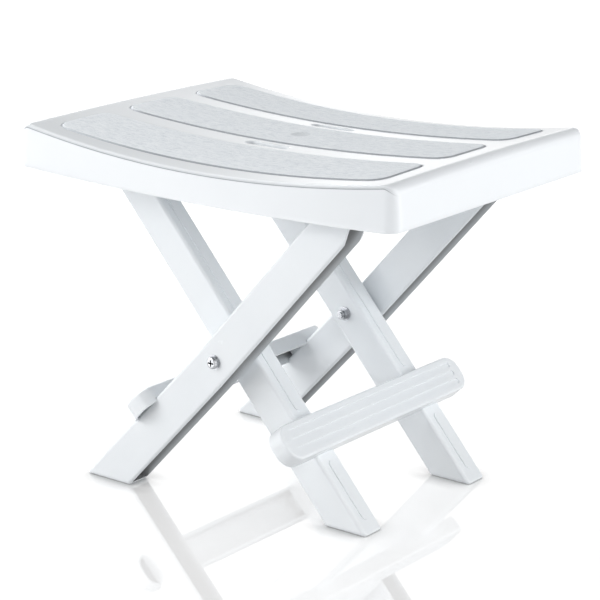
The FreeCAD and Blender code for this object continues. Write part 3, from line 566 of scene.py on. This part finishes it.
def plastic(name, tones, rough_low, rough_high, deep):
    """White moulded plastic: faint cloudy tone, painted shade in a darker deep colour inside its
    channels, uneven satin gloss and the fine orange peel of a tool's surface."""
    mat, tree, shader = new_material(name)
    paint_hollow_shade(tree, shader, drift(tree, 9.0, tones), deep, CHANNEL_REACH, CHANNEL_OPEN)
    gloss = map_range(tree, noise(tree, GLOSS_SCALE, 3.0), 0.0, 1.0, rough_low, rough_high)
    tree.links.new(gloss, shader.inputs["Roughness"])
    bump(tree, shader, noise(tree, PEEL_SCALE, 2.0), 0.00004, 0.35)
    shader.inputs["IOR"].default_value = PLASTIC_IOR
    return mat


def seat_plastic():
    """The legs' plastic with matt grained panels, streaked along X and finely pitted, where the
    panel attribute is 1, and with painted grey shade, also made matt, in the grooves, slot lips
    and edges, where its shade attribute is 1."""
    mat, tree, shader = new_material("seat_white_plastic")
    on_panel = node(tree, "ShaderNodeAttribute", attribute_name="panel").outputs["Fac"]
    shade_and_matt = node(tree, "ShaderNodeAttribute", attribute_name="painted_shade").outputs["Fac"]
    streaks = math_node(tree, "MULTIPLY", noise(tree, 1.0, 5.0, STREAKS, 0.6), STREAK_SHARE)
    pits = math_node(tree, "MULTIPLY", noise(tree, 1.0, 3.0, PITS, 0.6), PIT_SHARE)
    grain = math_node(tree, "ADD", streaks, pits)
    unshaded = mix(tree, "RGBA", on_panel, drift(tree, 7.0, SEAT_TONES),
                ramp(tree, grain, GRAIN_STOPS))
    # painted shade: grey mixed into the colour where the shade attribute is set
    tree.links.new(mix(tree, "RGBA", shade_and_matt, unshaded, SEAT_SHADE_GREY), shader.inputs["Base Color"])
    gloss = map_range(tree, noise(tree, GLOSS_SCALE, 3.0), 0.0, 1.0, 0.12, 0.18)
    rough = mix(tree, "FLOAT", on_panel, gloss, map_range(tree, grain, 0.0, 1.0, 0.5, 0.66))
    matt = math_node(tree, "MINIMUM", math_node(tree, "MULTIPLY", shade_and_matt, 3.0), 1.0)
    tree.links.new(mix(tree, "FLOAT", matt, rough, GROOVE_ROUGHNESS), shader.inputs["Roughness"])
    peel = math_node(tree, "MULTIPLY", noise(tree, PEEL_SCALE, 2.0), 0.06)
    bump(tree, shader, mix(tree, "FLOAT", on_panel, peel, grain), 0.0002, 0.5)
    shader.inputs["IOR"].default_value = PLASTIC_IOR
    return mat


def zinc():
    """Bright zinc plate with a fine uneven surface and gloss, and painted shade, nearly black, deep
    in recesses.
    """
    mat, tree, shader = new_material("zinc_plate")
    paint_hollow_shade(tree, shader, drift(tree, 500.0, ZINC_TONES), ZINC_HOLLOW_SHADE, ZINC_REACH, ZINC_OPEN)
    gloss = map_range(tree, noise(tree, 1500.0, 3.0), 0.0, 1.0, 0.18, 0.38)
    tree.links.new(gloss, shader.inputs["Roughness"])
    bump(tree, shader, noise(tree, 2600.0, 2.0), 0.00003, 0.4)
    shader.inputs["Metallic"].default_value = 1.0
    return mat


def dress(obj, mat):
    """Gives a piece one material."""
    obj.data.materials.clear()
    obj.data.materials.append(mat)


leg_mat = plastic("leg_white_plastic", LEG_TONES, 0.2, 0.3, CHANNEL_SHADE)
bar_mat = plastic("bar_white_plastic", LEG_TONES, 0.2, 0.3, BAR_HOLLOW_SHADE)
spacer_mat = plastic("spacer_plastic", SPACER_TONES, 0.4, 0.5, CHANNEL_SHADE)
seat_mat = seat_plastic()
zinc_mat = zinc()

for name, obj in nodes.items():
    if name == "inner_foot_bar":
        dress(obj, bar_mat)
    elif "leg" in name or "bar" in name:
        dress(obj, leg_mat)
    elif "spacer" in name:
        dress(obj, spacer_mat)
    elif name == "seat_top":
        dress(obj, seat_mat)
    else:
        dress(obj, zinc_mat)

seat = build_seat()
dress(seat, seat_mat)
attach(seat, "seat")
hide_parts("seat_top")


# Floor, light and camera, in metres and watts.

FLOOR_HALF = 8
FLOOR_TONES = ((0.24, 0.24, 0.24), (0.26, 0.26, 0.26))
FLOOR_IOR = 1.8
FLOOR_GLOW = 0.71
FLOOR_THROW = 0.31
CONTACT_REACH, CONTACT_SHARE = 0.024, 0.1
DARK_SIDE = (0.61, -0.79, 0.0)
DARK_LEVEL = 0.2
OVERHEAD = 0.05
HORIZON = 0.55
AMBIENT = 0.05
MIRRORED = 1.75
LAMP_SIZE = 1.6
LAMPS = [  # name, place, height that it is aimed at, power
    ("front_left_low_box", (-1.948, -1.635, 0.741), 0.2, 18),
    ("front_left_high_box", (-1.526, -1.280, 1.871), 0.2, 10),
    ("front_box", (-1.045, -2.241, 1.003), 0.2, 20),
    ("left_high_box", (-2.175, 0.583, 1.550), 0.25, 47),
    ("rear_box", (0.000, 1.992, 1.871), 0.2, 1),
    ("rear_right_high_box", (1.725, 0.996, 1.871), 0.2, 16),
    ("rear_right_box", (2.202, 1.272, 0.741), 0.2, 13),
    ("right_box", (2.473, 0.000, 1.003), 0.2, 20.5),
    ("front_right_box", (1.504, -1.925, 1.089), 0.2, 17),
]
CAMERA_PLACE = (1.2928, -1.6655, 0.7889)
CAMERA_YAW, CAMERA_PITCH = math.radians(37.84), math.radians(16.09)
CAMERA_LENS, CAMERA_SENSOR = 133.70, 36.0


def floor_piece():
    """A wide polished pale floor under a clear coat. It shows white where no shadow falls, has a
    painted contact shadow that darkens its glow with the square of how closed in it is near the
    feet, mirrors them, and throws an even light up on the legs."""
    mesh = bpy.data.meshes.new("floor")
    h = FLOOR_HALF
    mesh.from_pydata([(-h, -h, 0), (h, -h, 0), (h, h, 0), (-h, h, 0)], [], [(0, 1, 2, 3)])
    obj = bpy.data.objects.new("floor", mesh)
    bpy.context.scene.collection.objects.link(obj)
    mat, tree, shader = new_material("floor_white")
    tree.links.new(drift(tree, 1.5, FLOOR_TONES, 2.0), shader.inputs["Base Color"])
    polish = {"Roughness": 0.0, "IOR": FLOOR_IOR,
              "Coat Weight": 1.0, "Coat Roughness": 0.0, "Coat IOR": FLOOR_IOR}
    for key, value in polish.items():
        shader.inputs[key].default_value = value
    shader.inputs["Emission Color"].default_value = (1, 1, 1, 1)
    mat.cycles.emission_sampling = "NONE"
    # painted contact shadow: the glow is darkened where the floor is closed in near the feet
    near = node(tree, "ShaderNodeAmbientOcclusion", samples=12, Distance=CONTACT_REACH)
    open_share = math_node(tree, "MULTIPLY", near.outputs["AO"], near.outputs["AO"])
    glow = map_range(tree, open_share, 0.0, 1.0, CONTACT_SHARE * FLOOR_GLOW, FLOOR_GLOW)
    path = node(tree, "ShaderNodeLightPath").outputs
    seen = math_node(tree, "MAXIMUM", path["Is Camera Ray"], path["Is Glossy Ray"])
    thrown = math_node(tree, "MULTIPLY", path["Is Diffuse Ray"], FLOOR_THROW)
    strength = math_node(tree, "MAXIMUM", math_node(tree, "MULTIPLY", glow, seen), thrown)
    tree.links.new(strength, shader.inputs["Emission Strength"])
    dress(obj, mat)


def area_light(name, place, aim_z, power):
    """A soft square lamp aimed at a height on the stool's middle line."""
    data = bpy.data.lights.new(name, "AREA")
    data.shape = "RECTANGLE"
    data.size = data.size_y = LAMP_SIZE
    data.energy = power
    obj = bpy.data.objects.new(name, data)
    bpy.context.scene.collection.objects.link(obj)
    obj.location = place
    aim = Vector((0, 0, aim_z)) - Vector(place)
    obj.rotation_euler = aim.to_track_quat("-Z", "Y").to_euler()


def studio_world():
    """A white studio that is dimmer overhead and at the horizon, and dark on one side: its
    strength falls with the direction's part along that side and with its height. The camera and
    a sharp mirror see plain white."""
    world = bpy.data.worlds.new("studio")
    bpy.context.scene.world = world
    world.use_nodes = True
    tree = world.node_tree
    background = tree.nodes["Background"]
    background.inputs["Color"].default_value = (1, 1, 1, 1)
    direction = node(tree, "ShaderNodeTexCoord").outputs["Generated"]
    along = node(tree, "ShaderNodeVectorMath", operation="DOT_PRODUCT")
    tree.links.new(direction, along.inputs[0])
    along.inputs[1].default_value = DARK_SIDE
    parts = node(tree, "ShaderNodeSeparateXYZ")
    tree.links.new(direction, parts.inputs[0])
    height = parts.outputs["Z"]
    away = map_range(tree, along.outputs["Value"], -0.1, 0.8, 1.0, DARK_LEVEL, "SMOOTHSTEP")
    lower = map_range(tree, height, 0.1, 0.5, 1.0, OVERHEAD, "SMOOTHSTEP")
    level_off = map_range(tree, height, 0.04, 0.15, HORIZON, 1.0, "SMOOTHSTEP")
    shade = math_node(tree, "MULTIPLY", math_node(tree, "MULTIPLY", away, lower), level_off)
    path = node(tree, "ShaderNodeLightPath").outputs
    lit = math_node(tree, "MULTIPLY", shade,
                    mix(tree, "FLOAT", path["Is Glossy Ray"], AMBIENT, MIRRORED))
    seen = math_node(tree, "MAXIMUM", path["Is Camera Ray"], path["Is Singular Ray"])
    tree.links.new(math_node(tree, "MAXIMUM", lit, seen), background.inputs["Strength"])


def place_camera():
    """The camera at the photograph's viewing angle: turned about Z by the yaw, then down by the
    pitch."""
    data = bpy.data.cameras.new("camera")
    data.lens = CAMERA_LENS
    data.sensor_width = CAMERA_SENSOR
    obj = bpy.data.objects.new("camera", data)
    bpy.context.scene.collection.objects.link(obj)
    level = math.cos(CAMERA_PITCH)
    forward = Vector((-math.sin(CAMERA_YAW) * level, math.cos(CAMERA_YAW) * level,
                      -math.sin(CAMERA_PITCH)))
    right = Vector((math.cos(CAMERA_YAW), math.sin(CAMERA_YAW), 0))
    turn = Matrix((right, right.cross(forward), -forward)).transposed().to_4x4()
    obj.matrix_world = Matrix.Translation(CAMERA_PLACE) @ turn
    bpy.context.scene.camera = obj


floor_piece()
for lamp in LAMPS:
    area_light(*lamp)
studio_world()
place_camera()
bpy.context.scene.view_settings.view_transform = "Standard"
